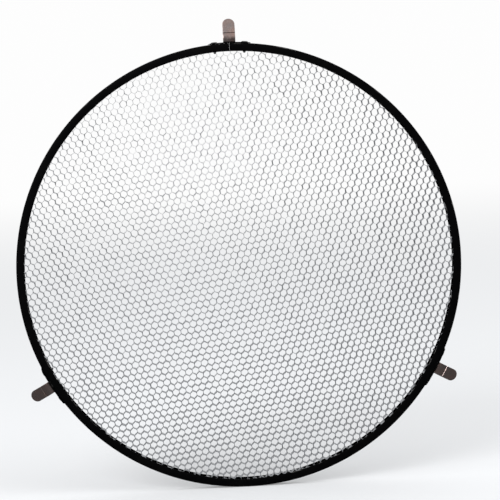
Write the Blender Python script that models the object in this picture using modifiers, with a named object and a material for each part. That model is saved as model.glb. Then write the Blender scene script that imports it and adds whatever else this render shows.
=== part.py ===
"""Honeycomb grid for a beauty dish, upright, with its front face towards -Y.

A rolled rim of U section holds a block of expanded foil. Three sprung clips on the rim's outer
wall reach out over the edge of the dish. The origin is the ring's centre, in the plane of the
rear face, which bears on the dish.

Everything hangs from one empty, whose own axes are X to the right, Y up and Z towards the front.
A clip is drawn as the one at the top, with Y radial, and its empty turns it into place.
"""

import math

import bmesh
import bpy
from mathutils import Matrix, Vector

# Driving dimensions, in metres
RIM_RADIUS = 0.205
RIM_DEPTH = 0.012
RIM_SHEET = 0.001
RIM_CORNER = 0.0012
FLANGE_EDGE_RADIUS = 0.1978
SEAM_WIDTH = 0.0005
GAP = 0.0003

CELL_PITCH = 0.00625
FOIL = 0.0001
CELL_ANGLE = math.radians(9)
COARSENESS = 6
# A third of the real walls are two foils thick
COARSE_WALL = FOIL * COARSENESS * 4 / 3
SMALLEST_CELL = 1 / 6

CLIP_ANGLES = {"top": 90, "left": 210, "right": 330}
SPRING_SHEET = 0.0004
SPRING_WIDTH = 0.0112
SADDLE_SHEET = 0.0005
SADDLE_LENGTH = 0.039
SADDLE_CORNER = 0.0025
FOOT_LENGTH = 0.0356
FOOT_CORNER = 0.0012
RIVET_SPACING = 0.028
RIVET_DEPTH = 0.0052

# Heights above the rim's outer wall, which is where a clip starts
FOOT_RADIUS = RIM_RADIUS + GAP + SPRING_SHEET / 2
SADDLE_RADIUS = FOOT_RADIUS + SPRING_SHEET / 2 + GAP + SADDLE_SHEET / 2
SADDLE_TOP = SADDLE_RADIUS + SADDLE_SHEET / 2

# The clip's leaf, as lengths and headings along the middle of the strip. A heading of 0 degrees
# points to the front, 90 straight outwards and more than 90 back towards the dish.
HINGE_DEPTH = 0.0082
ROOT_BEND = 0.0012
ROOT_HEADING = 60
CREST_BEND = 0.0022
LEAF_HEADING = 103
RIDGE_REACH = 0.0090
RIDGE_WIDTH = 0.0010
RIDGE_HEIGHT = 0.0004
TAB_HEADING = 112
TAB_LENGTH = 0.0133

# Depths, measured from the rear face towards the front
FOOT_DEPTHS = (0.0021, HINGE_DEPTH - GAP / 2)
SADDLE_DEPTHS = (0.0013, 0.0118)
SLOT_DEPTHS = (0.0085, 0.0106)
SLOT_WIDTH = SPRING_WIDTH + 0.001

# Blind rivets, with radii first and then places along the rivet's axis, from the ring's centre
SHANK_RADIUS = 0.0016
HEAD_RADIUS = 0.0030
HEAD_HEIGHT = 0.0008
HEAD_SHAPE = ((0.55, 1.0), (0.84, 0.66))
DIMPLE_DEPTH = 0.0004
TAIL_RADIUS = 0.0023
TAIL_SHOULDER = 0.0008
TAIL_BARREL = 0.0022
TAIL_LIP = 0.0004
BORE_RADIUS = 0.0011
PIN_RADIUS = 0.0008
PIN_BALL_RADIUS = 0.0013
TAIL_END = 0.1990
HEAD_SEAT = SADDLE_TOP + GAP

# Straight sides drawn in place of a curve
RIM_STEPS = 120
ROUND_STEPS = 14
CORNER_STEPS = 3
BEND_STEPS = 5
TIP_STEPS = 6


def clear_scene():
    for old in list(bpy.data.objects):
        bpy.data.objects.remove(old)


def new_collection(name):
    collection = bpy.data.collections.new(name)
    bpy.context.scene.collection.children.link(collection)
    return collection


def new_material(name, colour, roughness, metallic):
    material = bpy.data.materials.new(name)
    material.use_nodes = True
    shader = material.node_tree.nodes["Principled BSDF"]
    shader.inputs["Base Color"].default_value = (*colour, 1)
    shader.inputs["Roughness"].default_value = roughness
    shader.inputs["Metallic"].default_value = metallic
    return material


def new_empty(name, parent=None):
    empty = bpy.data.objects.new(name, None)
    empty.empty_display_size = 0.02
    empty.parent = parent
    GRID.objects.link(empty)
    return empty


def new_object(name, mesh, parent, material=None, collection=None):
    """Adds a piece, or a cutter when it is given a collection of cutters."""
    piece = bpy.data.objects.new(name, mesh)
    piece.parent = parent
    if collection:
        piece.hide_render = True
        piece.display_type = "WIRE"
    else:
        mesh.materials.append(material)
    (collection or GRID).objects.link(piece)
    return piece


def mesh_from(bm, name):
    mesh = bpy.data.meshes.new(name)
    bm.to_mesh(mesh)
    bm.free()
    return mesh


def arc(centre, radius, start, end, steps):
    """Points on an arc, from one angle in degrees to the other."""
    angles = [math.radians(start + (end - start) * i / steps) for i in range(steps + 1)]
    return [(centre[0] + radius * math.cos(a), centre[1] + radius * math.sin(a)) for a in angles]


def turned(name, profile, steps, loop, parent, material):
    """Turns a profile of (radius, height) points about Z. A loop makes a ring or a tube."""
    edges = [(i, i + 1) for i in range(len(profile) - 1)]
    if loop:
        edges.append((len(profile) - 1, 0))
    mesh = bpy.data.meshes.new(name)
    mesh.from_pydata([(r, 0, z) for r, z in profile], edges, [])
    piece = new_object(name, mesh, parent, material)
    screw = piece.modifiers.new("Turn", "SCREW")
    screw.steps = steps
    screw.render_steps = steps
    screw.use_merge_vertices = True
    screw.merge_threshold = 0.00001
    screw.use_smooth_shade = True
    return piece


def cut(piece, cutters):
    boolean = piece.modifiers.new("Cut", "BOOLEAN")
    boolean.operation = "DIFFERENCE"
    boolean.operand_type = "COLLECTION"
    boolean.collection = cutters


def box_cutter(name, low, high, parent, cutters):
    bm = bmesh.new()
    bmesh.ops.create_cube(bm, size=1)
    size = [b - a for a, b in zip(low, high)]
    middle = [(a + b) / 2 for a, b in zip(low, high)]
    bmesh.ops.scale(bm, vec=size, verts=bm.verts)
    bmesh.ops.translate(bm, vec=middle, verts=bm.verts)
    return new_object(name, mesh_from(bm, name), parent, collection=cutters)


def radial_cutter(name, radius, low, high, parent, cutters):
    """A cylinder along the parent's Y, from one distance to another."""
    bm = bmesh.new()
    bmesh.ops.create_cone(
        bm, cap_ends=True, segments=ROUND_STEPS, radius1=radius, radius2=radius, depth=high - low
    )
    bmesh.ops.rotate(bm, matrix=Matrix.Rotation(math.radians(-90), 3, "X"), verts=bm.verts)
    bmesh.ops.translate(bm, vec=(0, (low + high) / 2, RIVET_DEPTH), verts=bm.verts)
    return new_object(name, mesh_from(bm, name), parent, collection=cutters)


def bent_plate(name, length, depths, corner, radius, thickness, parent, material):
    """A plate with round corners, bent to a radius round the ring's axis."""
    low, high = depths
    half = length / 2
    outline = []
    for x, z, start in (
        (half - corner, low + corner, -90),
        (half - corner, high - corner, 0),
        (corner - half, high - corner, 90),
        (corner - half, low + corner, 180),
    ):
        outline += arc((x, z), corner, start, start + 90, CORNER_STEPS)
    bm = bmesh.new()
    bm.faces.new([bm.verts.new((x, 0, z)) for x, z in outline])
    columns = round(length / (radius * math.radians(360 / RIM_STEPS) / 2))
    for i in range(1, columns):
        bmesh.ops.bisect_plane(
            bm,
            geom=bm.verts[:] + bm.edges[:] + bm.faces[:],
            plane_co=(length * i / columns - half, 0, 0),
            plane_no=(1, 0, 0),
        )
    for vert in bm.verts:
        angle = vert.co.x / radius
        vert.co = (radius * math.sin(angle), radius * math.cos(angle), vert.co.z)
    bmesh.ops.recalc_face_normals(bm, faces=bm.faces)
    piece = new_object(name, mesh_from(bm, name), parent, material)
    solidify = piece.modifiers.new("Thickness", "SOLIDIFY")
    solidify.thickness = thickness
    solidify.offset = 0
    return piece


def build_rim(parent, hole_cutters):
    outer_corner = RIM_RADIUS - RIM_CORNER
    wall = RIM_RADIUS - RIM_SHEET
    profile = [(FLANGE_EDGE_RADIUS, RIM_DEPTH)]
    profile += arc((outer_corner, RIM_DEPTH - RIM_CORNER), RIM_CORNER, 90, 0, CORNER_STEPS)
    profile += arc((outer_corner, RIM_CORNER), RIM_CORNER, 0, -90, CORNER_STEPS)
    profile += [
        (FLANGE_EDGE_RADIUS, 0),
        (FLANGE_EDGE_RADIUS, RIM_SHEET),
        (wall, RIM_SHEET),
        (wall, RIM_DEPTH - RIM_SHEET),
        (FLANGE_EDGE_RADIUS, RIM_DEPTH - RIM_SHEET),
    ]
    rim = turned("rim_channel", profile, RIM_STEPS, True, parent, BLACK_PAINT)
    box_cutter(
        "seam_cutter",
        (-SEAM_WIDTH / 2, FLANGE_EDGE_RADIUS - RIM_SHEET, -RIM_SHEET),
        (SEAM_WIDTH / 2, RIM_RADIUS + RIM_SHEET, RIM_DEPTH + RIM_SHEET),
        parent,
        hole_cutters,
    )
    cut(rim, hole_cutters)


def inside(polygon, start, end):
    """The part of a polygon on the left of the line from start to end."""
    kept = []
    line = end - start
    for i, here in enumerate(polygon):
        before = polygon[i - 1]
        side_here = line.cross(here - start)
        side_before = line.cross(before - start)
        if (side_here > 0) != (side_before > 0):
            kept.append(before.lerp(here, side_before / (side_before - side_here)))
        if side_here > 0:
            kept.append(here)
    return kept


def area(polygon):
    return sum(polygon[i - 1].cross(point) for i, point in enumerate(polygon)) / 2


def core_cells(radius):
    """Openings of the coarse honeycomb, each cut off at the given radius."""
    pitch = CELL_PITCH * COARSENESS
    circle = [Vector(p) for p in arc((0, 0), radius, 0, 360, RIM_STEPS)]
    along = Vector((math.cos(CELL_ANGLE), math.sin(CELL_ANGLE))) * pitch
    across = Matrix.Rotation(math.radians(60), 2) @ along
    corner_reach = (pitch - COARSE_WALL) / math.sqrt(3)
    reach = math.ceil(2 * radius / pitch)
    cells = []
    for i in range(-reach, reach + 1):
        for j in range(-reach, reach + 1):
            centre = along * i + across * j
            if centre.length > radius + pitch / 2:
                continue
            start = math.degrees(CELL_ANGLE) + 30
            corners = arc(centre, corner_reach, start, start + 300, 5)
            cell = [Vector(p) for p in corners]
            for line_start, line_end in zip(circle, circle[1:]):
                cell = inside(cell, line_start, line_end)
            if len(cell) > 2 and area(cell) > (pitch * SMALLEST_CELL) ** 2:
                cells.append(cell)
    return cells


def build_core(parent, tail_cutters):
    """The foil block, drawn with cells six times too large and its real share of metal."""
    radius = RIM_RADIUS - RIM_SHEET - GAP
    depths = (RIM_SHEET + GAP, RIM_DEPTH - RIM_SHEET - GAP)
    outline = [Vector(p) for p in arc((0, 0), radius, 0, 360, RIM_STEPS)][:-1]
    curve = bpy.data.curves.new("core_outline", "CURVE")
    curve.dimensions = "2D"
    curve.fill_mode = "BOTH"
    curve.extrude = (depths[1] - depths[0]) / 2
    for polygon in [outline] + core_cells(radius - COARSE_WALL):
        spline = curve.splines.new("POLY")
        spline.points.add(len(polygon) - 1)
        spline.use_cyclic_u = True
        for point, place in zip(spline.points, polygon):
            point.co = (*place, 0, 1)
    drawn = bpy.data.objects.new("core_outline", curve)
    GRID.objects.link(drawn)
    graph = bpy.context.evaluated_depsgraph_get()
    mesh = bpy.data.meshes.new_from_object(drawn.evaluated_get(graph))
    bpy.data.objects.remove(drawn)
    bm = bmesh.new()
    bm.from_mesh(mesh)
    bmesh.ops.remove_doubles(bm, verts=bm.verts, dist=0.00001)
    bmesh.ops.translate(bm, vec=(0, 0, sum(depths) / 2), verts=bm.verts)
    bm.to_mesh(mesh)
    bm.free()
    core = new_object("honeycomb_core", mesh, parent, FOIL_METAL)
    cut(core, tail_cutters)


def leaf_centreline():
    """(outwards, forwards) points along the strip, from the hinge, and the tab's first point."""
    points = [(0, GAP / 2)]
    place = Vector(points[0])

    def turn(bend, start, end):
        centre = place + bend * Vector((math.cos(math.radians(start)), -math.sin(math.radians(start))))
        ends = arc(centre, bend, 180 - start, 180 - end, BEND_STEPS)
        points.extend(ends[1:])
        return Vector(ends[-1])

    def run(length, heading):
        step = length * Vector((math.sin(math.radians(heading)), math.cos(math.radians(heading))))
        points.append(tuple(place + step))
        return place + step

    place = turn(ROOT_BEND, 0, ROOT_HEADING)
    place = turn(CREST_BEND, ROOT_HEADING, LEAF_HEADING)
    ridge = (RIDGE_REACH - place.x) / math.sin(math.radians(LEAF_HEADING))
    place = run(ridge - RIDGE_WIDTH / 2, LEAF_HEADING)
    tilt = math.degrees(math.atan2(2 * RIDGE_HEIGHT, RIDGE_WIDTH))
    slope = math.hypot(RIDGE_HEIGHT, RIDGE_WIDTH / 2)
    place = run(slope, LEAF_HEADING + tilt)
    place = run(slope, LEAF_HEADING - tilt)
    tab_start = place
    return points, tab_start


def build_leaf(name, parent):
    """The free part of a spring clip, as a strip whose tab ends in a half circle."""
    half = SPRING_WIDTH / 2
    points, tab_start = leaf_centreline()
    rows = [(outwards, forwards, half) for outwards, forwards in points]
    heading = math.radians(TAB_HEADING)
    straight = TAB_LENGTH - half
    for i in range(TIP_STEPS + 1):
        turned_by = math.radians(90 * i / TIP_STEPS)
        along = straight + half * math.sin(turned_by)
        outwards = tab_start.x + along * math.sin(heading)
        forwards = tab_start.y + along * math.cos(heading)
        rows.append((outwards, forwards, half * math.cos(turned_by)))
    tip = rows.pop()
    bm = bmesh.new()
    edges = [[bm.verts.new((side * w, y, z)) for side in (-1, 1)] for y, z, w in rows]
    for near, far in zip(edges, edges[1:]):
        bm.faces.new((near[0], near[1], far[1], far[0]))
    end = bm.verts.new((0, tip[0], tip[1]))
    bm.faces.new((edges[-1][0], edges[-1][1], end))
    piece = new_object(name, mesh_from(bm, name), parent, SPRING_METAL)
    piece.location = (0, FOOT_RADIUS, HINGE_DEPTH)
    solidify = piece.modifiers.new("Thickness", "SOLIDIFY")
    solidify.thickness = SPRING_SHEET
    solidify.offset = 0


def build_rivet(name, seat):
    """A blind rivet through saddle, foot and rim, and the pin that stays in it."""
    wall_inside = RIM_RADIUS - RIM_SHEET
    tail_start = wall_inside - GAP
    head_top = HEAD_SEAT + HEAD_HEIGHT
    barrel_start = tail_start - TAIL_SHOULDER
    body = [(BORE_RADIUS, head_top)]
    body += [(HEAD_RADIUS * across, HEAD_SEAT + HEAD_HEIGHT * up) for across, up in HEAD_SHAPE]
    body += [(HEAD_RADIUS, HEAD_SEAT), (SHANK_RADIUS, HEAD_SEAT), (SHANK_RADIUS, tail_start)]
    body += [(TAIL_RADIUS, barrel_start), (TAIL_RADIUS, barrel_start - TAIL_BARREL)]
    body += [(SHANK_RADIUS, TAIL_END + TAIL_LIP), (SHANK_RADIUS, TAIL_END), (BORE_RADIUS, TAIL_END)]
    rivet = turned(name, body, ROUND_STEPS, True, seat, BLACK_PAINT)
    ball = TAIL_END - GAP - PIN_BALL_RADIUS
    pin = [(0, head_top - DIMPLE_DEPTH), (PIN_RADIUS, head_top - DIMPLE_DEPTH)]
    neck = math.degrees(math.acos(PIN_RADIUS / PIN_BALL_RADIUS))
    pin += arc((0, ball), PIN_BALL_RADIUS, neck, -90, BEND_STEPS)
    pin[-1] = (0, ball - PIN_BALL_RADIUS)
    stem = turned(name.replace("rivet", "rivet_pin"), pin, ROUND_STEPS, False, seat, STEEL)
    for piece in (rivet, stem):
        piece.location = (0, 0, RIVET_DEPTH)
        piece.rotation_euler = (math.radians(-90), 0, 0)


def build_clip(place, degrees, parent, hole_cutters, tail_cutters):
    seat = new_empty(f"clip_seat_{place}", parent)
    seat.rotation_euler = (0, 0, math.radians(degrees - 90))
    own_cutters = bpy.data.collections.new(f"cutters_{place}")
    CUTTERS.children.link(own_cutters)
    for side, sign in (("a", -1), ("b", 1)):
        rivet_seat = new_empty(f"rivet_seat_{place}_{side}", seat)
        rivet_seat.rotation_euler = (0, 0, -sign * RIVET_SPACING / 2 / RIM_RADIUS)
        hole = radial_cutter(
            f"hole_cutter_{place}_{side}",
            SHANK_RADIUS + GAP,
            RIM_RADIUS - 2 * RIM_SHEET,
            SADDLE_TOP + RIM_SHEET,
            rivet_seat,
            hole_cutters,
        )
        own_cutters.objects.link(hole)
        radial_cutter(
            f"tail_cutter_{place}_{side}",
            TAIL_RADIUS + GAP,
            TAIL_END - 2 * PIN_BALL_RADIUS - 2 * GAP,
            RIM_RADIUS,
            rivet_seat,
            tail_cutters,
        )
        build_rivet(f"rivet_{place}_{side}", rivet_seat)
    box_cutter(
        f"slot_cutter_{place}",
        (-SLOT_WIDTH / 2, RIM_RADIUS, SLOT_DEPTHS[0]),
        (SLOT_WIDTH / 2, SADDLE_TOP + RIM_SHEET, SLOT_DEPTHS[1]),
        seat,
        own_cutters,
    )
    saddle = bent_plate(
        f"saddle_plate_{place}", SADDLE_LENGTH, SADDLE_DEPTHS, SADDLE_CORNER,
        SADDLE_RADIUS, SADDLE_SHEET, seat, BLACK_PAINT,
    )
    foot = bent_plate(
        f"spring_foot_{place}", FOOT_LENGTH, FOOT_DEPTHS, FOOT_CORNER,
        FOOT_RADIUS, SPRING_SHEET, seat, SPRING_METAL,
    )
    cut(saddle, own_cutters)
    cut(foot, own_cutters)
    build_leaf(f"spring_leaf_{place}", seat)


clear_scene()
GRID = new_collection("honeycomb_grid")
CUTTERS = new_collection("cutters")
CUTTERS.hide_render = True

BLACK_PAINT = new_material("black_paint", (0.012, 0.012, 0.013), 0.42, 0)
FOIL_METAL = new_material("foil", (0.80, 0.81, 0.83), 0.30, 1)
SPRING_METAL = new_material("spring_steel", (0.50, 0.46, 0.45), 0.22, 1)
STEEL = new_material("pin_steel", (0.30, 0.30, 0.31), 0.40, 1)

rim_holes = bpy.data.collections.new("rim_hole_cutters")
rivet_tails = bpy.data.collections.new("rivet_tail_cutters")
CUTTERS.children.link(rim_holes)
CUTTERS.children.link(rivet_tails)

ring_frame = new_empty("ring_frame")
ring_frame.rotation_euler = (math.radians(90), 0, 0)
for clip_place, clip_degrees in CLIP_ANGLES.items():
    build_clip(clip_place, clip_degrees, ring_frame, rim_holes, rivet_tails)
build_rim(ring_frame, rim_holes)
build_core(ring_frame, rivet_tails)
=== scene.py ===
"""The looks of a honeycomb grid for a beauty dish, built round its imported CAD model.

The CAD frame is in metres, with +Z up through the top clip and the front face towards -Y. Shapes
are drawn in the ring's own axes: X to the right, Y up and Z towards the front, from the centre of
the rear face. A clip is drawn as the one at the top, with Y radial, and is turned into its place.
"""

import math

import bpy
import numpy as np
from mathutils import Matrix, Vector


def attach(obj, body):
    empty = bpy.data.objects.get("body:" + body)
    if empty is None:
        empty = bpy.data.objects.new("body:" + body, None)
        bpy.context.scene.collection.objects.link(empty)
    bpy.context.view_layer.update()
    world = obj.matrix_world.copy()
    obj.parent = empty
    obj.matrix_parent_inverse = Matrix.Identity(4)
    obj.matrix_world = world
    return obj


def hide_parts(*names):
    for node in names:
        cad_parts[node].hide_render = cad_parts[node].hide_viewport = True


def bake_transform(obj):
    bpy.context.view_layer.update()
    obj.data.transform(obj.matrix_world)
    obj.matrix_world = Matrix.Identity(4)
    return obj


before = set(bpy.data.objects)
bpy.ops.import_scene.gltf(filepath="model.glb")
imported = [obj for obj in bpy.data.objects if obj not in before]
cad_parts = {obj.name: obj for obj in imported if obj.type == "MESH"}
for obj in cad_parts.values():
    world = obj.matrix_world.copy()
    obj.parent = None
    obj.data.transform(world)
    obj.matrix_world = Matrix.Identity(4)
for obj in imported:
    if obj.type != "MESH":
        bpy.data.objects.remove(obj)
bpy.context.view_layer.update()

# The CAD's dimensions, in metres
RIM_RADIUS = 0.205
RIM_DEPTH = 0.012
RIM_SHEET = 0.001
RIM_CORNER = 0.0012
FLANGE_EDGE_RADIUS = 0.1978
SEAM_WIDTH = 0.0005
GAP = 0.0003

CELL_PITCH = 0.00625
CELL_ANGLE = math.radians(9)

CLIP_ANGLES = {"top": 90, "left": 210, "right": 330}
SPRING_SHEET = 0.0004
SPRING_WIDTH = 0.0112
FOOT_CORNER = 0.0009
SADDLE_SHEET = 0.0005
SADDLE_LENGTH = 0.039
SADDLE_CORNER = 0.0025
FOOT_LENGTH = 0.0356
RIVET_SPACING = 0.028
RIVET_DEPTH = 0.0052

FOOT_RADIUS = RIM_RADIUS + GAP + SPRING_SHEET / 2
# Seated pieces all but touch here, where the solids keep a gap between them
FIT = 0.00006
SEATED_FOOT = RIM_RADIUS + FIT + SPRING_SHEET / 2
SADDLE_RADIUS = SEATED_FOOT + SPRING_SHEET / 2 + FIT + SADDLE_SHEET / 2
SADDLE_TOP = SADDLE_RADIUS + SADDLE_SHEET / 2

HINGE_DEPTH = 0.0082
# The strip bends from this far behind its hinge to this far outside and ahead of it
ROOT_BEND = 0.0012
ROOT_SPREAD = 0.0024
ROOT_HEADING = 60
CREST_BEND = 0.0022
LEAF_HEADING = 103
# The leaf bows a little between these, where the solid is straight
CREST_HEADING = 82
RIDGE_HEADING = 119
RIDGE_REACH = 0.0090
RIDGE_WIDTH = 0.0010
RIDGE_HEIGHT = 0.0004
TAB_HEADING = 112
TAB_LENGTH = 0.0133

FOOT_DEPTHS = (0.0021, HINGE_DEPTH - GAP / 2)
SADDLE_DEPTHS = (0.0013, 0.0118)
SLOT_DEPTHS = (0.0085, 0.0106)
SLOT_WIDTH = SPRING_WIDTH + 0.001

SHANK_RADIUS = 0.0016
HEAD_RADIUS = 0.0030
HEAD_HEIGHT = 0.0008
TAIL_RADIUS = 0.0023
BORE_RADIUS = 0.0011
PIN_RADIUS = 0.0008
PIN_BALL_RADIUS = 0.0013
TAIL_END = 0.1990
HEAD_SEAT = SADDLE_TOP + FIT

# Small shapes that only the visual model has
RIM_EDGE = 0.0003
RIM_INNER_BEND = 0.0005
FLANGE_DRIFT = 0.00022
SADDLE_BEVEL = 0.00014
STRIP_BEVEL = 0.00009
# A saddle's ends and front edge are pressed down to the rim over these lengths
SKIRT_LENGTH = 0.0016
SKIRT_DEPTH = 0.0009
BORE_BEVEL = 0.00012
DOME_SHOULDER = 0.0003
HEAD_LIP = 0.00018
HEAD_UNDERCUT = 0.00005
TAIL_ROLL = 0.0004
TAIL_CHAMFER = 0.0001
TAIL_FULLNESS = 0.6
PIN_SUNK = 0.0004
PIN_DIMPLE = 0.00012

# How finely the visual shapes are drawn
RIM_STEPS = 360
ROUND_STEPS = 40
CORNER_STEPS = 5
DOME_STEPS = 8
BALL_STEPS = 12
TIP_STEPS = 12
TIP_SWEEP = 86
SADDLE_STEPS = 34
SKIRT_STEPS = 6
CUT_STEPS = 10
TINY = 1e-9

RING_TO_WORLD = Matrix.Rotation(math.radians(90), 4, "X")


def clip_to_world(degrees):
    return RING_TO_WORLD @ Matrix.Rotation(math.radians(degrees - 90), 4, "Z")


# ---------------------------------------------------------------- meshes and pieces


def new_mesh(name, points, faces):
    mesh = bpy.data.meshes.new(name)
    mesh.from_pydata([tuple(p) for p in points], [], faces)
    mesh.update()
    return mesh


def joined(name, meshes):
    """One mesh that holds copies of several."""
    points, faces = [], []
    for mesh in meshes:
        first = len(points)
        points += [v.co.copy() for v in mesh.vertices]
        faces += [[first + i for i in p.vertices] for p in mesh.polygons]
    return new_mesh(name, points, faces)


def shaped(mesh, *modifiers):
    """The mesh after these modifiers, each given as its type and its settings."""
    holder = bpy.data.objects.new("holder", mesh)
    bpy.context.scene.collection.objects.link(holder)
    for kind, settings in modifiers:
        modifier = holder.modifiers.new(kind, kind)
        for key, value in settings.items():
            setattr(modifier, key, value)
    graph = bpy.context.evaluated_depsgraph_get()
    result = bpy.data.meshes.new_from_object(holder.evaluated_get(graph))
    bpy.data.objects.remove(holder)
    return result


def carved(mesh, *cutters):
    """The mesh with each cutter's volume taken out of it."""
    holder = bpy.data.objects.new("cutter", joined("cutters", cutters))
    bpy.context.scene.collection.objects.link(holder)
    result = shaped(mesh, ("BOOLEAN", {"operation": "DIFFERENCE", "object": holder}))
    bpy.data.objects.remove(holder)
    return result


def add_piece(name, mesh, matrix, material, nodes, sharp=35):
    """A piece in its place in the row frame, which stands for the CAD nodes given."""
    mesh.transform(matrix)
    mesh.shade_smooth()
    mesh.set_sharp_from_angle(angle=math.radians(sharp))
    mesh.materials.clear()
    mesh.materials.append(material)
    piece = bpy.data.objects.new(name, mesh)
    bpy.context.scene.collection.objects.link(piece)
    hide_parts(*nodes)
    return piece


def rounded(corners, steps=CORNER_STEPS):
    """A closed outline whose corners, given as (x, y, radius), are rounded off."""
    outline = []
    for i, (x, y, radius) in enumerate(corners):
        here = Vector((x, y))
        before = (Vector(corners[i - 1][:2]) - here).normalized()
        after = (Vector(corners[(i + 1) % len(corners)][:2]) - here).normalized()
        half = before.angle(after) / 2
        centre = here + (before + after).normalized() * radius / math.sin(half)
        start = here + before * radius / math.tan(half) - centre
        end = here + after * radius / math.tan(half) - centre
        sweep = start.angle_signed(end)
        for step in range(steps + 1):
            turn = Matrix.Rotation(-sweep * step / steps, 2)
            outline.append(centre + turn @ start)
    return outline


def turned(name, profile, steps=ROUND_STEPS):
    """Turns a profile of (radius, height) points about Z, closing it where it meets the axis."""
    points, faces, rings = [], [], []
    for radius, height in profile:
        first = len(points)
        if radius < TINY:
            points.append((0, 0, height))
            rings.append([first] * steps)
            continue
        for i in range(steps):
            angle = math.tau * i / steps
            points.append((radius * math.cos(angle), radius * math.sin(angle), height))
        rings.append(list(range(first, first + steps)))
    loop = profile[0][0] > TINY
    for near, far in zip(rings, rings[1:] + rings[:1] if loop else rings[1:]):
        for i in range(steps):
            j = (i + 1) % steps
            corners = [near[i], near[j], far[j], far[i]]
            faces.append(list(dict.fromkeys(corners)))
    return new_mesh(name, points, faces)


def radial_cylinder(radius, low, high, turn):
    """A cutter along the clip's Y, turned round the ring's axis by some radians."""
    profile = [(0, high), (radius, high), (radius, low), (0, low)]
    mesh = turned("cutter", profile, ROUND_STEPS)
    mesh.transform(rivet_matrix(turn))
    return mesh


def rivet_matrix(turn):
    """From a rivet's own axes, with Z outwards, to its clip's."""
    seat = Matrix.Rotation(-turn, 4, "Z") @ Matrix.Translation((0, 0, RIVET_DEPTH))
    return seat @ Matrix.Rotation(math.radians(-90), 4, "X")


RIVET_TURNS = {"a": -RIVET_SPACING / 2 / RIM_RADIUS, "b": RIVET_SPACING / 2 / RIM_RADIUS}


# ---------------------------------------------------------------- materials


LACQUER, DUSTY_LACQUER = (0.0012, 0.0012, 0.0015), (0.0034, 0.0032, 0.0031)
DUST_SPECK, WORN_METAL = (0.06, 0.068, 0.064), (0.34, 0.33, 0.32)
LACQUER_SHEEN = 0.035
FOIL_DARK, FOIL_LIGHT, FOIL_DULL = (0.66, 0.68, 0.71), (0.78, 0.80, 0.83), (0.56, 0.58, 0.61)
DRIED_GLUE = (0.38, 0.34, 0.27)
STEEL, WARM_STEEL = (0.265, 0.220, 0.212), (0.320, 0.222, 0.196)
STEEL_SMUDGE, STEEL_SCRATCH = (0.24, 0.20, 0.19), (0.52, 0.49, 0.47)
# Painted shade: the spring's foot, hidden under the saddle, is darkened to near black
FOOT_SHADE = (0.008, 0.008, 0.009)
RIVET_DARK, RIVET_HAZE, RIVET_CHIP = (0.009, 0.009, 0.010), (0.020, 0.020, 0.021), (0.30, 0.30, 0.30)
PIN_BRIGHT, PIN_TARNISH = (0.36, 0.36, 0.37), (0.20, 0.18, 0.16)


class Tree:
    """A material's nodes, with a short way to add one."""

    def __init__(self, name):
        self.material = bpy.data.materials.new(name)
        self.material.use_nodes = True
        self.nodes = self.material.node_tree.nodes
        self.links = self.material.node_tree.links
        self.shader = self.nodes["Principled BSDF"]
        self.place = self.add("ShaderNodeTexCoord").outputs["Object"]

    def add(self, kind, settings=None, inputs=None):
        node = self.nodes.new(kind)
        for key, value in (settings or {}).items():
            setattr(node, key, value)
        self.feed(node, inputs or {})
        return node

    def feed(self, node, inputs):
        for key, value in inputs.items():
            if isinstance(value, bpy.types.NodeSocket):
                self.links.new(value, node.inputs[key])
            else:
                node.inputs[key].default_value = value

    def stretched(self, scale, place=None):
        """Coordinates scaled by a different amount along each axis."""
        mapping = self.add("ShaderNodeMapping", None, {"Vector": place or self.place, "Scale": scale})
        return mapping.outputs["Vector"]

    def noise(self, scale, detail=3.0, roughness=0.5, place=None):
        inputs = {
            "Vector": place or self.place,
            "Scale": scale,
            "Detail": detail,
            "Roughness": roughness,
        }
        return self.add("ShaderNodeTexNoise", None, inputs).outputs["Fac"]

    def math(self, operation, a, b=0.0, clamp=False):
        node = self.add("ShaderNodeMath", {"operation": operation, "use_clamp": clamp})
        self.feed(node, {0: a, 1: b})
        return node.outputs[0]

    def ramp(self, value, low, high, out_low=0.0, out_high=1.0):
        """The value taken from one range to another, and held at its ends."""
        inputs = {
            "Value": value,
            "From Min": low,
            "From Max": high,
            "To Min": out_low,
            "To Max": out_high,
        }
        return self.add("ShaderNodeMapRange", {"clamp": True}, inputs).outputs["Result"]

    def mixed(self, share, a, b):
        """One colour at 0 and the other at 1."""
        node = self.add("ShaderNodeMix", {"data_type": "RGBA"})
        ends = [(*end, 1) if isinstance(end, tuple) else end for end in (a, b)]
        self.feed(node, {0: share, 6: ends[0], 7: ends[1]})
        return node.outputs[2]

    def bump(self, height, distance, strength=1.0, normal=None):
        inputs = {"Height": height, "Distance": distance, "Strength": strength}
        if normal:
            inputs["Normal"] = normal
        return self.add("ShaderNodeBump", None, inputs).outputs["Normal"]

    def attribute(self, name):
        return self.add("ShaderNodeAttribute", {"attribute_name": name}).outputs["Fac"]


def near_value(tree, value, target, reach):
    """1 where the value is at the target, and 0 from a distance of reach."""
    away = tree.math("ABSOLUTE", tree.math("SUBTRACT", value, target))
    return tree.ramp(away, 0, reach, 1, 0)


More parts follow.
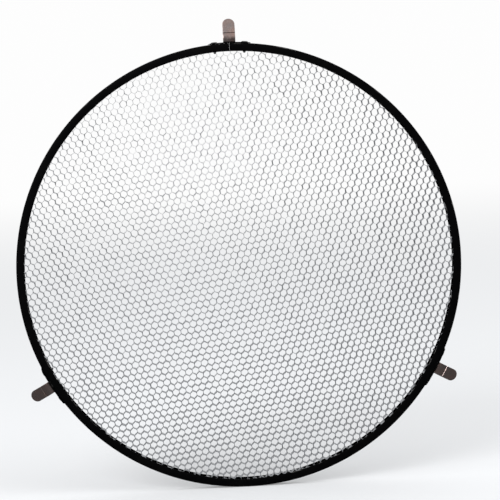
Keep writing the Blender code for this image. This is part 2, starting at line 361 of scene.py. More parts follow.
def black_paint(name, wear):
    """Satin black lacquer with fine orange peel, faint dust and worn edges."""
    tree = Tree(name)
    axes = tree.add("ShaderNodeSeparateXYZ", None, {0: tree.place}).outputs
    from_axis = tree.add(
        "ShaderNodeVectorMath", {"operation": "LENGTH"}, {0: tree.stretched((1, 0, 1))}
    ).outputs["Value"]
    depth = tree.math("MULTIPLY", axes["Y"], -1.0)
    edges = near_value(tree, from_axis, FLANGE_EDGE_RADIUS, 0.00045)
    for face in (0.0, RIM_DEPTH):
        corner = tree.math(
            "MULTIPLY",
            near_value(tree, from_axis, RIM_RADIUS - RIM_CORNER * 0.3, 0.0006),
            near_value(tree, depth, face, RIM_CORNER * 0.55),
        )
        edges = tree.math("MAXIMUM", edges, corner)
    patches = tree.ramp(tree.noise(70, 5, 0.62), 0.56, 0.70)
    worn = tree.math("MULTIPLY", tree.math("MULTIPLY", edges, patches), wear)
    dust = tree.ramp(tree.noise(38, 6, 0.7), 0.50, 0.80)
    specks = tree.ramp(tree.noise(2600, 2), 0.70, 0.76)
    base = tree.mixed(dust, LACQUER, DUSTY_LACQUER)
    base = tree.mixed(tree.math("MULTIPLY", specks, 0.25), base, DUST_SPECK)
    base = tree.mixed(worn, base, WORN_METAL)
    matt = tree.ramp(tree.noise(240, 4, 0.6), 0.25, 0.75, 0.36, 0.50)
    matt = tree.math("ADD", matt, tree.math("MULTIPLY", dust, 0.08))
    peel = tree.bump(tree.noise(1100, 2), 0.00004, 0.5)
    dents = tree.bump(tree.noise(55, 2), 0.0004, 0.20, peel)
    inputs = {"Base Color": base, "Roughness": matt, "Metallic": worn, "Normal": dents}
    inputs["Specular IOR Level"] = LACQUER_SHEEN
    tree.feed(tree.shader, inputs)
    return tree.material


def foil_metal():
    """Thin rolled aluminium, with lines along the strip, a varied tone and specks of glue."""
    tree = Tree("core_foil")
    lines = tree.noise(1.0, 4, 0.65, tree.stretched((55, 3400, 55)))
    cloud = tree.noise(150, 3)
    tone = tree.attribute("strip_tone")
    node_wall = tree.attribute("node_wall")
    glue_spots = tree.ramp(tree.noise(900, 3, 0.6), 0.60, 0.68)
    glue = tree.math("MULTIPLY", node_wall, glue_spots)
    base = tree.mixed(tree.ramp(cloud, 0.3, 0.7), FOIL_DARK, FOIL_LIGHT)
    base = tree.mixed(tree.math("MULTIPLY", tone, 0.5), base, FOIL_DULL)
    base = tree.mixed(tree.math("MULTIPLY", glue, 0.7), base, DRIED_GLUE)
    matt = tree.ramp(lines, 0.25, 0.75, 0.26, 0.44)
    matt = tree.math("ADD", matt, tree.math("MULTIPLY", glue, 0.25))
    rolled = tree.bump(lines, 0.00001, 0.35)
    creased = tree.bump(tree.noise(420, 2), 0.00008, 0.35, rolled)
    metal = tree.ramp(glue, 0, 1, 1.0, 0.35)
    tree.feed(tree.shader, {"Base Color": base, "Roughness": matt, "Metallic": metal, "Normal": creased})
    return tree.material


def spring_metal():
    """Plated spring steel, ground along the strip, with smudges, a faint warm cast and painted shade on
    its foot.
    """
    tree = Tree("spring_steel")
    place = tree.add("ShaderNodeUVMap", {"uv_map": "strip"}).outputs["UV"]
    lines = tree.noise(1.0, 3, 0.6, tree.stretched((5200, 120, 1), place))
    scratches = tree.ramp(tree.noise(1.0, 2, 0.5, tree.stretched((9000, 300, 1), place)), 0.66, 0.72)
    smudges = tree.ramp(tree.noise(260, 4, 0.6), 0.42, 0.66)
    warmth = tree.ramp(tree.noise(120, 2), 0.35, 0.65)
    base = tree.mixed(warmth, STEEL, WARM_STEEL)
    base = tree.mixed(tree.math("MULTIPLY", smudges, 0.45), base, STEEL_SMUDGE)
    base = tree.mixed(tree.math("MULTIPLY", scratches, 0.5), base, STEEL_SCRATCH)
    # Painted shade: the foot and the leaf's root, under the saddle, go near black, with a ragged edge
    along = tree.add("ShaderNodeSeparateXYZ", None, {0: place}).outputs["Y"]
    ragged = tree.math("MULTIPLY", tree.noise(1400, 3), 0.0006)
    foot_shade = tree.ramp(tree.math("SUBTRACT", along, ragged), 0.0001, 0.0004, 1, 0)
    base = tree.mixed(foot_shade, base, FOOT_SHADE)
    matt = tree.ramp(lines, 0.25, 0.75, 0.14, 0.26)
    matt = tree.math("ADD", matt, tree.math("MULTIPLY", smudges, 0.12))
    ground = tree.bump(lines, 0.000012, 0.5)
    tree.feed(tree.shader, {"Base Color": base, "Roughness": matt, "Normal": ground})
    # The painted shade on the foot is not metallic
    tree.feed(tree.shader, {"Metallic": tree.math("SUBTRACT", 1.0, foot_shade)})
    return tree.material


def rivet_paint():
    """Black lacquer on the rivets, chipped on the dome, with grey metal below."""
    tree = Tree("rivet_black")
    chips = tree.ramp(tree.noise(900, 5, 0.65), 0.63, 0.68)
    haze = tree.noise(420, 3)
    base = tree.mixed(haze, RIVET_DARK, RIVET_HAZE)
    base = tree.mixed(tree.math("MULTIPLY", chips, 0.8), base, RIVET_CHIP)
    matt = tree.ramp(haze, 0.3, 0.7, 0.30, 0.46)
    peel = tree.bump(tree.noise(1900, 2), 0.00003, 0.5)
    tree.feed(tree.shader, {"Base Color": base, "Roughness": matt, "Normal": peel})
    tree.feed(tree.shader, {"Metallic": tree.math("MULTIPLY", chips, 0.8)})
    return tree.material


def pin_metal():
    """Bare steel of the rivets' pins, drawn along their length and a little tarnished."""
    tree = Tree("pin_steel")
    tarnish = tree.ramp(tree.noise(700, 4, 0.6), 0.40, 0.66)
    drawn = tree.noise(2600, 3, 0.6)
    base = tree.mixed(tarnish, PIN_BRIGHT, PIN_TARNISH)
    matt = tree.ramp(drawn, 0.3, 0.7, 0.32, 0.52)
    pitted = tree.bump(drawn, 0.00002, 0.4)
    tree.feed(tree.shader, {"Base Color": base, "Roughness": matt, "Normal": pitted})
    tree.feed(tree.shader, {"Metallic": 1.0})
    return tree.material


# ---------------------------------------------------------------- the rim


def rim_profile():
    """The channel's section as (radius, height) points, with its bends and edges rounded."""
    wall = RIM_RADIUS - RIM_SHEET
    return rounded(
        [
            (FLANGE_EDGE_RADIUS, RIM_DEPTH, RIM_EDGE),
            (FLANGE_EDGE_RADIUS, RIM_DEPTH - RIM_SHEET, RIM_EDGE),
            (wall, RIM_DEPTH - RIM_SHEET, RIM_INNER_BEND),
            (wall, RIM_SHEET, RIM_INNER_BEND),
            (FLANGE_EDGE_RADIUS, RIM_SHEET, RIM_EDGE),
            (FLANGE_EDGE_RADIUS, 0, RIM_EDGE),
            (RIM_RADIUS, 0, RIM_CORNER),
            (RIM_RADIUS, RIM_DEPTH, RIM_CORNER),
        ]
    )


def flange_drift(angle):
    """How far a flange's edge strays inwards as the channel was rolled, from 0 to about 1."""
    waves = ((3, 0.4, 1.0), (7, 2.1, 0.7), (19, 5.0, 0.45), (41, 1.3, 0.3))
    total = sum(size * math.sin(count * angle + phase) for count, phase, size in waves)
    return 0.5 + total / 5


def rim_mesh():
    """The section carried round from one side of the seam at the top to the other."""
    profile = rim_profile()
    half_seam = SEAM_WIDTH / 2 / RIM_RADIUS
    start = math.pi / 2 + half_seam
    sweep = math.tau - 2 * half_seam
    count = len(profile)
    points, faces = [], []
    for step in range(RIM_STEPS + 1):
        angle = start + sweep * step / RIM_STEPS
        for radius, height in profile:
            share = (RIM_RADIUS - radius) / (RIM_RADIUS - FLANGE_EDGE_RADIUS)
            side = 0.0 if height > RIM_DEPTH / 2 else 2.0
            radius -= FLANGE_DRIFT * share * flange_drift(angle + side)
            points.append((radius * math.cos(angle), radius * math.sin(angle), height))
    for step in range(RIM_STEPS):
        for i in range(count):
            j = (i + 1) % count
            near, far = step * count, (step + 1) * count
            faces.append((near + i, far + i, far + j, near + j))
    faces.append(list(range(count)))
    faces.append([RIM_STEPS * count + i for i in reversed(range(count))])
    return new_mesh("rim_channel_rolled", points, faces)


def build_rim(paint):
    """The rolled channel, with a hole through its wall for each rivet."""
    holes = []
    for degrees in CLIP_ANGLES.values():
        for turn in RIVET_TURNS.values():
            hole = radial_cylinder(
                SHANK_RADIUS + GAP, RIM_RADIUS - 2 * RIM_SHEET, SADDLE_TOP, turn
            )
            hole.transform(Matrix.Rotation(math.radians(degrees - 90), 4, "Z"))
            holes.append(hole)
    mesh = carved(rim_mesh(), *holes)
    rim = add_piece("rim_channel_rolled", mesh, RING_TO_WORLD, paint, ["rim_channel"])
    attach(rim, "grid")


# ---------------------------------------------------------------- the foil core

CORE_RADIUS = RIM_RADIUS - RIM_SHEET - GAP
CORE_DEPTHS = (RIM_SHEET + GAP, RIM_DEPTH - RIM_SHEET - GAP)
WALL_LENGTH = CELL_PITCH / math.sqrt(3)
COLUMN_PITCH = 1.5 * WALL_LENGTH
LEVEL_PITCH = CELL_PITCH / 2
# A cut edge of the foil is this wide, with its burr
FOIL_EDGE = 0.00016
GLUE_FILM = 0.00002
PLY_SHIFT = (FOIL_EDGE + GLUE_FILM) / 2
BEND_CHAMFER = 0.0005
CORNER_SCATTER = 0.00007
TWIST_SCATTER = 0.00011
EDGE_SCATTER = 0.00008
# Slow waves in the drawn-out foil: size, turn per metre along and across, and phase
STRETCH = ((0.00075, 21, 13, 0.6), (0.00045, -17, 34, 2.2), (0.00025, 52, -29, 4.0))
CORE_PARTS = 4
CELL_SEED, STRIP_SEED = 7, 11
COLUMN_REACH = math.ceil(CORE_RADIUS / COLUMN_PITCH) + 1
LEVEL_REACH = math.ceil(CORE_RADIUS / LEVEL_PITCH) + 1

# Double walls face this way, and the strips run across it
ACROSS_ANGLE = CELL_ANGLE
ALONG = Vector((math.sin(ACROSS_ANGLE), -math.cos(ACROSS_ANGLE)))
ACROSS = Vector((math.cos(ACROSS_ANGLE), math.sin(ACROSS_ANGLE)))


def rivet_places():
    """Each rivet's direction from the ring's centre, as a unit vector."""
    places = []
    for degrees in CLIP_ANGLES.values():
        for turn in RIVET_TURNS.values():
            angle = math.radians(degrees) - turn
            places.append(Vector((math.cos(angle), math.sin(angle))))
    return places


RIVETS = rivet_places()
TAIL_ROOM = TAIL_RADIUS + 2 * GAP
TAIL_REACH = TAIL_END - 2 * PIN_BALL_RADIUS - 2 * GAP


def holds_foil(point):
    """True where the core is, which is inside the rim's wall and clear of the rivets' tails."""
    if point.length > CORE_RADIUS:
        return False
    for rivet in RIVETS:
        if point.dot(rivet) > TAIL_REACH and abs(rivet.cross(point)) < TAIL_ROOM:
            return False
    return True


class Honeycomb:
    """The corners of the cells, each pulled a little out of true by how the foil was drawn out."""

    def __init__(self, seed):
        source = np.random.default_rng(seed)
        shape = (2 * COLUMN_REACH + 3, 2 * LEVEL_REACH + 3, 2, 2)
        self.shift = source.normal(0, CORNER_SCATTER, shape)
        self.twist = source.normal(0, TWIST_SCATTER, shape)

    def corner(self, column, level, side):
        """(front, rear) places of the left or right end of a node wall, in strip axes."""
        along = column * COLUMN_PITCH + (side - 0.5) * WALL_LENGTH
        across = level * LEVEL_PITCH
        for size, by_along, by_across, phase in STRETCH:
            wave = size * math.sin(by_along * along + by_across * across + phase)
            along, across = along + wave * 0.6, across + wave
        key = (column + COLUMN_REACH + 1, level + LEVEL_REACH + 1, side)
        shift, twist = self.shift[key], self.twist[key]
        middle = Vector((along + shift[0], across + shift[1]))
        turn = Vector((twist[0], twist[1]))
        return middle + turn, middle - turn


def strip_line(honeycomb, level):
    """One strip's line as (front, rear, on a node wall) points, with its bends cut off."""
    corners = []
    for column in range(-COLUMN_REACH, COLUMN_REACH + 1):
        low = (level - column) % 2 == 0
        shift = Vector((0, PLY_SHIFT if low else -PLY_SHIFT))
        for side in (0, 1):
            ends = honeycomb.corner(column, level if low else level + 1, side)
            corners.append([end + shift for end in ends])
    line = []
    for i in range(1, len(corners) - 1):
        for other in (i - 1, i + 1):
            share = BEND_CHAMFER / WALL_LENGTH
            cut_back = [a.lerp(b, share) for a, b in zip(corners[i], corners[other])]
            line.append((*cut_back, 1.0 if (other // 2) == (i // 2) else 0.0))
    return line


def in_ring(place):
    """A place in strip axes, taken to the ring's own."""
    return ALONG * place.x + ACROSS * place.y


def strip_runs(line):
    """The stretches of a strip's line that lie inside the rim, cut where they meet it."""
    runs, run = [], []
    kept = [holds_foil(in_ring((front + rear) / 2)) for front, rear, _ in line]
    for i in range(1, len(line)):
        if kept[i - 1] and not run:
            run = [line[i - 1]]
        if kept[i] and kept[i - 1]:
            run.append(line[i])
            continue
        if kept[i] == kept[i - 1]:
            continue
        inner, outer = (line[i], line[i - 1]) if kept[i] else (line[i - 1], line[i])
        near, far = 0.0, 1.0
        for _ in range(CUT_STEPS):
            share = (near + far) / 2
            place = inner[0].lerp(outer[0], share) + inner[1].lerp(outer[1], share)
            if holds_foil(in_ring(place / 2)):
                near = share
            else:
                far = share
        end = (inner[0].lerp(outer[0], near), inner[1].lerp(outer[1], near), inner[2])
        if kept[i]:
            run = [end, line[i]]
        else:
            run.append(end)
            runs.append(run)
            run = []
    return [r for r in runs + [run] if len(r) > 2]


def side_normals(places):
    """A unit vector to the left of the line at each of its points."""
    flat = np.array([tuple(p) for p in places])
    tangent = np.gradient(flat, axis=0)
    tangent /= np.linalg.norm(tangent, axis=1)[:, None] + 1e-12
    return np.stack([-tangent[:, 1], tangent[:, 0]], 1)


def core_part(number, levels, honeycomb, source, material):
    """The strips at some levels, as one piece. They only touch through their glue."""
    points, faces, tones, walls = [], [], [], []
    for level in levels:
        line = strip_line(honeycomb, level)
        tone = source.uniform(0, 1)
        for run in strip_runs(line):
            first = len(points)
            sides = [side_normals([p[row] for p in run]) * FOIL_EDGE / 2 for row in (0, 1)]
            wobble = source.normal(0, EDGE_SCATTER / 2, (2, len(run)))
            for i, (front, rear, on_wall) in enumerate(run):
                for row, place in ((0, front), (1, rear)):
                    height = CORE_DEPTHS[1] if row == 0 else CORE_DEPTHS[0]
                    inset = min(abs(wobble[row][i]), EDGE_SCATTER)
                    height += inset if row else -inset
                    for sign in (1, -1):
                        flat = in_ring(place + Vector(sides[row][i]) * sign)
                        points.append((flat.x, flat.y, height))
                tones += [tone] * 4
                walls += [on_wall] * 4
            for i in range(len(run) - 1):
                a, b = first + 4 * i, first + 4 * (i + 1)
                faces += [
                    (a, b, b + 2, a + 2),
                    (a + 1, a + 3, b + 3, b + 1),
                    (a, a + 1, b + 1, b),
                    (a + 2, b + 2, b + 3, a + 3),
                ]
            last = first + 4 * (len(run) - 1)
            faces.append((first, first + 2, first + 3, first + 1))
            faces.append((last, last + 1, last + 3, last + 2))
    name = f"foil_core_{number}"
    mesh = new_mesh(name, points, faces)
    for label, values in (("strip_tone", tones), ("node_wall", walls)):
        mesh.attributes.new(label, "FLOAT", "POINT").data.foreach_set("value", values)
    part = add_piece(name, mesh, RING_TO_WORLD, material, ["honeycomb_core"])
    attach(part, "grid")


def build_core(material):
    """The foil block in a few bands of strips, all cut from the same honeycomb."""
    honeycomb = Honeycomb(CELL_SEED)
    source = np.random.default_rng(STRIP_SEED)
    levels = range(-LEVEL_REACH, LEVEL_REACH + 1)
    size = math.ceil(len(levels) / CORE_PARTS)
    for part in range(CORE_PARTS):
        chosen = levels[part * size:(part + 1) * size]
        core_part(part + 1, chosen, honeycomb, source, material)


# ---------------------------------------------------------------- the clips


def leaf_line():
    """(outwards, forwards, distance) points along the leaf, from the hinge to the tab's start."""
    points = [Vector((0, GAP / 2))]

    def turn(bend, start, end, steps):
        first = math.radians(start)
        centre = points[-1] + bend * Vector((math.cos(first), -math.sin(first)))
        for i in range(1, steps + 1):
            heading = math.radians(start + (end - start) * i / steps)
            points.append(centre + bend * Vector((-math.cos(heading), math.sin(heading))))

    def run(length, heading, steps):
        ahead = Vector((math.sin(math.radians(heading)), math.cos(math.radians(heading))))
        start = points[-1]
        for i in range(1, steps + 1):
            points.append(start + ahead * length * i / steps)

    turn(ROOT_BEND, 0, ROOT_HEADING, 8)
    turn(CREST_BEND, ROOT_HEADING, CREST_HEADING, 6)
    spread = math.cos(math.radians(CREST_HEADING)) - math.cos(math.radians(RIDGE_HEADING))
    sweep = (RIDGE_REACH - RIDGE_WIDTH / 2 - points[-1].x) / spread
    turn(sweep, CREST_HEADING, RIDGE_HEADING, 12)
    tilt = math.degrees(math.atan2(2 * RIDGE_HEIGHT, RIDGE_WIDTH))
    slope = math.hypot(RIDGE_HEIGHT, RIDGE_WIDTH / 2)
    run(slope, LEAF_HEADING + tilt, 2)
    run(slope, LEAF_HEADING - tilt, 2)
    return points


def strip_rows():
    """(outwards, forwards, half width) rows of the leaf, from its root to its round tip."""
    half = SPRING_WIDTH / 2
    rows = [(p.x, p.y, half) for p in leaf_line()]
    start = rows[-1]
    heading = math.radians(TAB_HEADING)
    straight = TAB_LENGTH - half
    places = [(straight * i / 4, half) for i in range(1, 5)]
    for i in range(1, TIP_STEPS + 1):
        angle = math.radians(TIP_SWEEP * i / TIP_STEPS)
        places.append((straight + half * math.sin(angle), half * math.cos(angle)))
    for along, width in places:
        outwards = start[0] + along * math.sin(heading)
        rows.append((outwards, start[1] + along * math.cos(heading), width))
    return rows


def strip_mesh(name):
    """Foot and leaf as one sheet: a wide foot bent to the rim, and a narrow leaf in its middle."""
    half = SPRING_WIDTH / 2
    foot_half = FOOT_LENGTH / 2
    inner = [half * i / 6 for i in range(-6, 7)]
    wing = [half + (foot_half - half) * i / 8 for i in range(1, 9)]
    columns = [-x for x in reversed(wing)] + inner + wing
    depths = [FOOT_DEPTHS[0] + (FOOT_DEPTHS[1] - FOOT_DEPTHS[0]) * i / 4 for i in range(5)]
    points, faces, rows, places = [], [], [], []
    travelled = 0.0
    for depth in depths:
        row = []
        for x in columns:
            end_row = depth in (depths[0], depths[-1])
            if end_row and abs(x) > foot_half - 1e-6:
                x -= math.copysign(FOOT_CORNER, x)
            angle = x / SEATED_FOOT
            row.append(len(points))
            outwards = SEATED_FOOT * math.cos(angle) - FOOT_RADIUS
            points.append((SEATED_FOOT * math.sin(angle), outwards, depth - HINGE_DEPTH))
            places.append((x, depth - HINGE_DEPTH))
        rows.append(row)
    for near, far in zip(rows, rows[1:]):
        for i in range(len(columns) - 1):
            faces.append((near[i], near[i + 1], far[i + 1], far[i]))
    before = rows[-1][len(wing):len(wing) + len(inner)]
    last = Vector((0, -GAP / 2))
    for outwards, forwards, width in strip_rows():
        travelled += (Vector((outwards, forwards)) - last).length
        last = Vector((outwards, forwards))
        sunk = (FOOT_RADIUS - SEATED_FOOT) * max(0.0, 1 - travelled / ROOT_SPREAD) ** 2
        row = []
        for x in inner:
            row.append(len(points))
            points.append((x * width / half, outwards - sunk, forwards))
            places.append((x * width / half, travelled))
        for i in range(len(inner) - 1):
            faces.append((before[i], before[i + 1], row[i + 1], row[i]))
        before = row
    mesh = new_mesh(name, points, faces)
    uv = mesh.uv_layers.new(name="strip")
    for loop in mesh.loops:
        uv.data[loop.index].uv = places[loop.vertex_index]
    thick = {"thickness": SPRING_SHEET, "offset": 0, "use_even_offset": True}
    mesh = shaped(mesh, ("SOLIDIFY", thick))
    mesh.transform(Matrix.Translation((0, FOOT_RADIUS, HINGE_DEPTH)))
    return mesh


def edge_bevel(width, degrees):
    """Settings that round off every edge sharper than some degrees."""
    limit = math.radians(degrees)
    return {"width": width, "segments": 2, "limit_method": "ANGLE", "angle_limit": limit}


def rivet_holes():
    """Cutters for a clip's two rivets, right through its saddle, strip and rim wall."""
    low, high = RIM_RADIUS - 2 * RIM_SHEET, SADDLE_TOP + RIM_SHEET
    return [radial_cylinder(SHANK_RADIUS + GAP, low, high, t) for t in RIVET_TURNS.values()]


def box_mesh(low, high):
    xs, ys, zs = zip(low, high)
    points = [(x, y, z) for x in xs for y in ys for z in zs]
    faces = [(0, 1, 3, 2), (4, 6, 7, 5), (0, 4, 5, 1), (2, 3, 7, 6), (0, 2, 6, 4), (1, 5, 7, 3)]
    return new_mesh("cutter", points, faces)


def fade(value, start, end):
    """0 up to the start, 1 from the end, and a smooth rise between."""
    share = min(max((value - start) / (end - start), 0.0), 1.0)
    return share * share * (3 - 2 * share)


def saddle_mesh(name):
    """The plate over the spring's foot, drilled and slotted, and pressed down round its edges."""
    half = SADDLE_LENGTH / 2
    low, high = SADDLE_DEPTHS
    ends = ((half, low), (half, high), (-half, high), (-half, low))
    outline = rounded([(*end, SADDLE_CORNER) for end in ends])
    drop = SADDLE_RADIUS - SADDLE_SHEET / 2 - RIM_RADIUS - FIT
    over_foot = half - SKIRT_LENGTH
    middle = [over_foot * (2 * i / SADDLE_STEPS - 1) for i in range(SADDLE_STEPS + 1)]
    skirt = [over_foot + SKIRT_LENGTH * i / SKIRT_STEPS for i in range(1, SKIRT_STEPS + 1)]
    columns = [-x for x in reversed(skirt)] + middle + skirt
    shares = (0, 0.2, 0.4, 0.6, 0.8, 0.88, 0.91, 0.94, 0.97, 1)
    rows = len(shares) - 1
    points, faces, before = [], [], None
    for x in columns:
        top, bottom = edge_at(outline, x, True), edge_at(outline, x, False)
        row = []
        for share in shares:
            depth = bottom + (top - bottom) * share
            down = max(fade(abs(x), over_foot, half), fade(depth, high - SKIRT_DEPTH, high))
            radius, angle = SADDLE_RADIUS - drop * down, x / SADDLE_RADIUS
            row.append(len(points))
            points.append((radius * math.sin(angle), radius * math.cos(angle), depth))
        if before:
            for i in range(rows):
                faces.append((before[i], row[i], row[i + 1], before[i + 1]))
        before = row
    mesh = new_mesh(name, points, faces)
    mesh = shaped(mesh, ("SOLIDIFY", {"thickness": SADDLE_SHEET, "offset": 0}))
    slot = box_mesh(
        (-SLOT_WIDTH / 2, RIM_RADIUS, SLOT_DEPTHS[0]),
        (SLOT_WIDTH / 2, SADDLE_TOP + RIM_SHEET, SLOT_DEPTHS[1]),
    )
    mesh = carved(mesh, slot, *rivet_holes())
    return shaped(mesh, ("BEVEL", edge_bevel(SADDLE_BEVEL, 50)))


def edge_at(outline, x, top):
    """The outline's highest or lowest point at x."""
    found = []
    for i, here in enumerate(outline):
        before = outline[i - 1]
        if min(before.x, here.x) - TINY <= x <= max(before.x, here.x) + TINY:
            width = here.x - before.x
            share = (x - before.x) / width if abs(width) > TINY else 0.0
            found.append(before.y + (here.y - before.y) * share)
    return max(found) if top else min(found)


def rivet_profile():
    """A blind rivet's body: a low dome with a bore, a shank, and the tail its pin has swelled."""
    tail_start = RIM_RADIUS - RIM_SHEET - GAP
    head_top = HEAD_SEAT + HEAD_HEIGHT
    profile = [(BORE_RADIUS, head_top - BORE_BEVEL), (BORE_RADIUS + BORE_BEVEL, head_top)]
    for i in range(1, DOME_STEPS):
        angle = math.radians(90 * i / DOME_STEPS)
        dome_width = HEAD_RADIUS - BORE_RADIUS - DOME_SHOULDER
        radius = BORE_RADIUS + DOME_SHOULDER + dome_width * math.sin(angle)
        height = HEAD_SEAT + HEAD_LIP + (HEAD_HEIGHT - HEAD_LIP) * math.cos(angle)
        profile.append((radius, height))
    profile += [(HEAD_RADIUS, HEAD_SEAT + HEAD_LIP), (HEAD_RADIUS - HEAD_UNDERCUT, HEAD_SEAT)]
    profile += [(SHANK_RADIUS, HEAD_SEAT), (SHANK_RADIUS, tail_start)]
    bulge_end = TAIL_END + TAIL_ROLL
    for i in range(1, DOME_STEPS):
        share = i / DOME_STEPS
        swell = math.sin(math.pi * share) ** TAIL_FULLNESS
        radius = SHANK_RADIUS + (TAIL_RADIUS - SHANK_RADIUS) * swell
        profile.append((radius, tail_start + (bulge_end - tail_start) * share))
    profile += [(SHANK_RADIUS, bulge_end), (SHANK_RADIUS - TAIL_CHAMFER, TAIL_END)]
    profile += [(BORE_RADIUS, TAIL_END)]
    return profile


def pin_profile():
    """The pin left in a rivet: a broken-off stem below the head, and its ball at the tail."""
    top = HEAD_SEAT + HEAD_HEIGHT - PIN_SUNK
    profile = [(0, top - PIN_DIMPLE), (PIN_RADIUS * 0.55, top)]
    profile.append((PIN_RADIUS * 0.9, top - PIN_DIMPLE / 2))
    profile.append((PIN_RADIUS, top - 0.0002))
    ball = TAIL_END - GAP - PIN_BALL_RADIUS
    neck = math.acos(PIN_RADIUS / PIN_BALL_RADIUS)
    for i in range(BALL_STEPS):
        angle = neck - (neck + math.pi / 2) * i / BALL_STEPS
        profile.append((PIN_BALL_RADIUS * math.cos(angle), ball + PIN_BALL_RADIUS * math.sin(angle)))
    profile.append((0, ball - PIN_BALL_RADIUS))
    return profile


def build_clip(place, degrees, finishes):
    """One clip: its saddle, two rivets with their pins, and its spring strip."""
    matrix = clip_to_world(degrees)
    saddle = add_piece(
        f"saddle_{place}",
        saddle_mesh(f"saddle_{place}"),
        matrix,
        finishes["paint"],
        [f"saddle_plate_{place}"],
    )
    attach(saddle, "grid")
    for side, turn in RIVET_TURNS.items():
        seat = matrix @ rivet_matrix(turn)
        for kind, profile, finish, slot in (
            ("rivet", rivet_profile(), "rivet", "rivet_black"),
            ("rivet_pin", pin_profile(), "pin", "pin_steel"),
        ):
            mesh = turned(f"{kind}_{place}_{side}_turned", profile)
            nodes = [f"{kind}_{place}_{side}"]
            piece = add_piece(mesh.name, mesh, seat, finishes[finish], nodes)
            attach(piece, "grid")
    strip = carved(strip_mesh(f"spring_strip_{place}"), *rivet_holes())
    strip = shaped(strip, ("BEVEL", edge_bevel(STRIP_BEVEL, 60)))
    nodes = [f"spring_foot_{place}", f"spring_leaf_{place}"]
    piece = add_piece(
        f"spring_strip_{place}", strip, matrix, finishes["spring"], nodes, 40
    )
    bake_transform(piece)


# ---------------------------------------------------------------- the studio

CAMERA_AZIMUTH = -2.2
CAMERA_ELEVATION = 4.8
CAMERA_DISTANCE = 2.1
CAMERA_ROLL = -2.6
SENSOR_WIDTH = 36.0
# The picture's width at the ring, and how far the ring's centre lies right of and above its middle
FRAME_WIDTH = 0.46
RING_ASIDE, RING_ABOVE = -0.0095, -0.0153

# Each light's place and side in metres, and its power in watts
LIGHTS = {"key": ((-1.35, -2.5, 1.5), 1.6, 60), "fill": ((2.9, -1.1, 1.9), 2.6, 50)}


def build_camera():
    """The camera stands up and to the left of the ring, with a long lens, tilted a little."""
    azimuth, elevation = math.radians(CAMERA_AZIMUTH), math.radians(CAMERA_ELEVATION)
    back = Vector(
        (
            math.sin(azimuth) * math.cos(elevation),
            -math.cos(azimuth) * math.cos(elevation),
            math.sin(elevation),
        )
    )
    data = bpy.data.cameras.new("camera")
    data.sensor_width = SENSOR_WIDTH
    data.lens = CAMERA_DISTANCE / FRAME_WIDTH * SENSOR_WIDTH
    data.clip_start, data.clip_end = 0.1, 200
    camera = bpy.data.objects.new("camera", data)
    bpy.context.scene.collection.objects.link(camera)
    turn = (-back).to_track_quat("-Z", "Y").to_matrix()
    turn = turn @ Matrix.Rotation(math.radians(CAMERA_ROLL), 3, "Z")
    right, up = turn.col[0], turn.col[1]
    ring_centre = Vector((0, -RIM_DEPTH, 0))
    place = ring_centre + back * CAMERA_DISTANCE - right * RING_ASIDE - up * RING_ABOVE
    camera.matrix_world = Matrix.Translation(place) @ turn.to_4x4()
    bpy.context.scene.camera = camera


def soft_light(name, place, size, power):
    """A square area light that faces the ring's centre."""
    data = bpy.data.lights.new(name, "AREA")
    data.shape = "SQUARE"
    data.size = size
    data.energy = power
    light = bpy.data.objects.new(name, data)
    bpy.context.scene.collection.objects.link(light)
    light.location = place
    aim = (-Vector(place)).to_track_quat("-Z", "Y")
    light.rotation_mode = "QUATERNION"
    light.rotation_quaternion = aim


def seen_or_felt(tree, seen, felt):
    """A strength for what the camera sees directly, and another for what lights the scene."""
    camera_ray = tree.nodes.new("ShaderNodeLightPath").outputs["Is Camera Ray"]
    share = tree.nodes.new("ShaderNodeMix")
    tree.links.new(camera_ray, share.inputs["Factor"])
    for socket, value in ((share.inputs["A"], felt), (share.inputs["B"], seen)):
        if isinstance(value, bpy.types.NodeSocket):
            tree.links.new(value, socket)
        else:
            socket.default_value = value
    return share.outputs["Result"]


# SEEN is what the camera sees directly, and FELT is what lights the scene
BACKDROP_SEEN = 0.985
ROOM_FRONT, ROOM_BACK, ROOM_HIGH = 0.16, 0.42, 0.95
FLOOR_GLOW = 0.25
FLOOR_SEEN = 0.62
FLOOR_FELT = 0.16
FLOOR_REACH = 60
FLOOR_DROP = 0.0001
FLOOR_FADE = (1.0, 5.0)
ROOM_RISE = (0.05, 0.85)


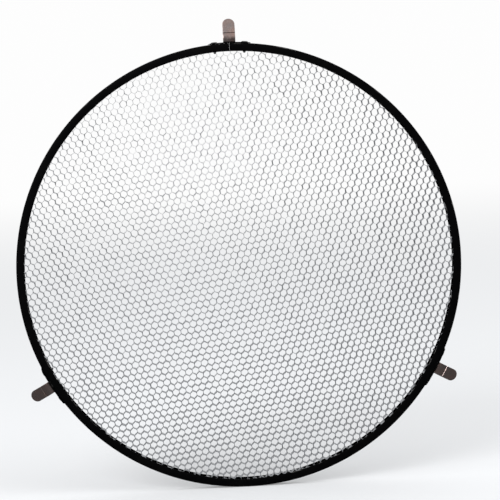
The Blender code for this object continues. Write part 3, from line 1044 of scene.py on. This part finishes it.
def build_floor():
    """A plain pale floor, with a faint mottle, that fades into the backdrop far off."""
    tree = Tree("floor_paper")
    mottle = tree.noise(3, 3)
    shade = seen_or_felt(tree.material.node_tree, FLOOR_SEEN, FLOOR_FELT)
    paper = tree.mixed(mottle, (0.94, 0.96, 0.985), (0.955, 0.975, 1))
    tree.feed(tree.shader, {"Base Color": tree.mixed(shade, (0, 0, 0), paper)})
    tree.feed(tree.shader, {"Roughness": tree.ramp(mottle, 0.3, 0.7, 0.7, 0.8)})
    tree.feed(tree.shader, {"Specular IOR Level": 0.0, "Emission Color": (1, 1, 1, 1)})
    glow = seen_or_felt(tree.material.node_tree, FLOOR_GLOW, 0.0)
    tree.feed(tree.shader, {"Emission Strength": glow})
    backdrop = seen_or_felt(tree.material.node_tree, BACKDROP_SEEN, ROOM_FRONT)
    far = tree.add("ShaderNodeEmission", None, {"Strength": backdrop})
    away = tree.add("ShaderNodeVectorMath", {"operation": "LENGTH"}, {0: tree.place}).outputs["Value"]
    fade_out = tree.add(
        "ShaderNodeMapRange",
        {"interpolation_type": "SMOOTHSTEP"},
        {"Value": away, "From Min": FLOOR_FADE[0], "From Max": FLOOR_FADE[1]},
    )
    inputs = {0: fade_out.outputs["Result"], 1: tree.shader.outputs[0], 2: far.outputs[0]}
    blend = tree.add("ShaderNodeMixShader", None, inputs)
    tree.links.new(blend.outputs[0], tree.nodes["Material Output"].inputs["Surface"])
    height = -RIM_RADIUS - FLOOR_DROP
    corners = [
        (FLOOR_REACH * x, FLOOR_REACH * y, height) for x, y in ((-1, -1), (1, -1), (1, 1), (-1, 1))
    ]
    floor = bpy.data.objects.new("floor", new_mesh("floor", corners, [(0, 1, 2, 3)]))
    floor.data.materials.append(tree.material)
    bpy.context.scene.collection.objects.link(floor)


def build_world():
    """A white backdrop to the camera, in a dim room lit from above and a little from behind."""
    world = bpy.data.worlds.new("studio")
    world.use_nodes = True
    tree = world.node_tree
    axes = tree.nodes.new("ShaderNodeSeparateXYZ")
    tree.links.new(tree.nodes.new("ShaderNodeTexCoord").outputs["Generated"], axes.inputs[0])
    depth = tree.nodes.new("ShaderNodeMapRange")
    tree.links.new(axes.outputs["Y"], depth.inputs["Value"])
    depth.inputs["From Min"].default_value = -1.0
    depth.inputs["To Min"].default_value = ROOM_FRONT
    depth.inputs["To Max"].default_value = ROOM_BACK
    height = tree.nodes.new("ShaderNodeMapRange")
    height.interpolation_type = "SMOOTHSTEP"
    tree.links.new(depth.outputs["Result"], height.inputs["To Min"])
    tree.links.new(axes.outputs["Z"], height.inputs["Value"])
    height.inputs["From Min"].default_value = ROOM_RISE[0]
    height.inputs["From Max"].default_value = ROOM_RISE[1]
    height.inputs["To Max"].default_value = ROOM_HIGH
    strength = seen_or_felt(tree, BACKDROP_SEEN, height.outputs["Result"])
    tree.links.new(strength, tree.nodes["Background"].inputs["Strength"])
    tree.nodes["Background"].inputs["Color"].default_value = (1, 1, 1, 1)
    bpy.context.scene.world = world


def build_stage():
    """The floor, the backdrop and the lights, with tones shown as they are."""
    build_floor()
    build_world()
    for name, (place, size, power) in LIGHTS.items():
        soft_light(name, place, size, power)
    bpy.context.scene.view_settings.view_transform = "Standard"


build_camera()
build_stage()
FINISHES = {
    "paint": black_paint("satin_black", 0.8),
    "rivet": rivet_paint(),
    "pin": pin_metal(),
    "spring": spring_metal(),
}
build_rim(FINISHES["paint"])
build_core(foil_metal())
for clip_place, clip_degrees in CLIP_ANGLES.items():
    build_clip(clip_place, clip_degrees, FINISHES)
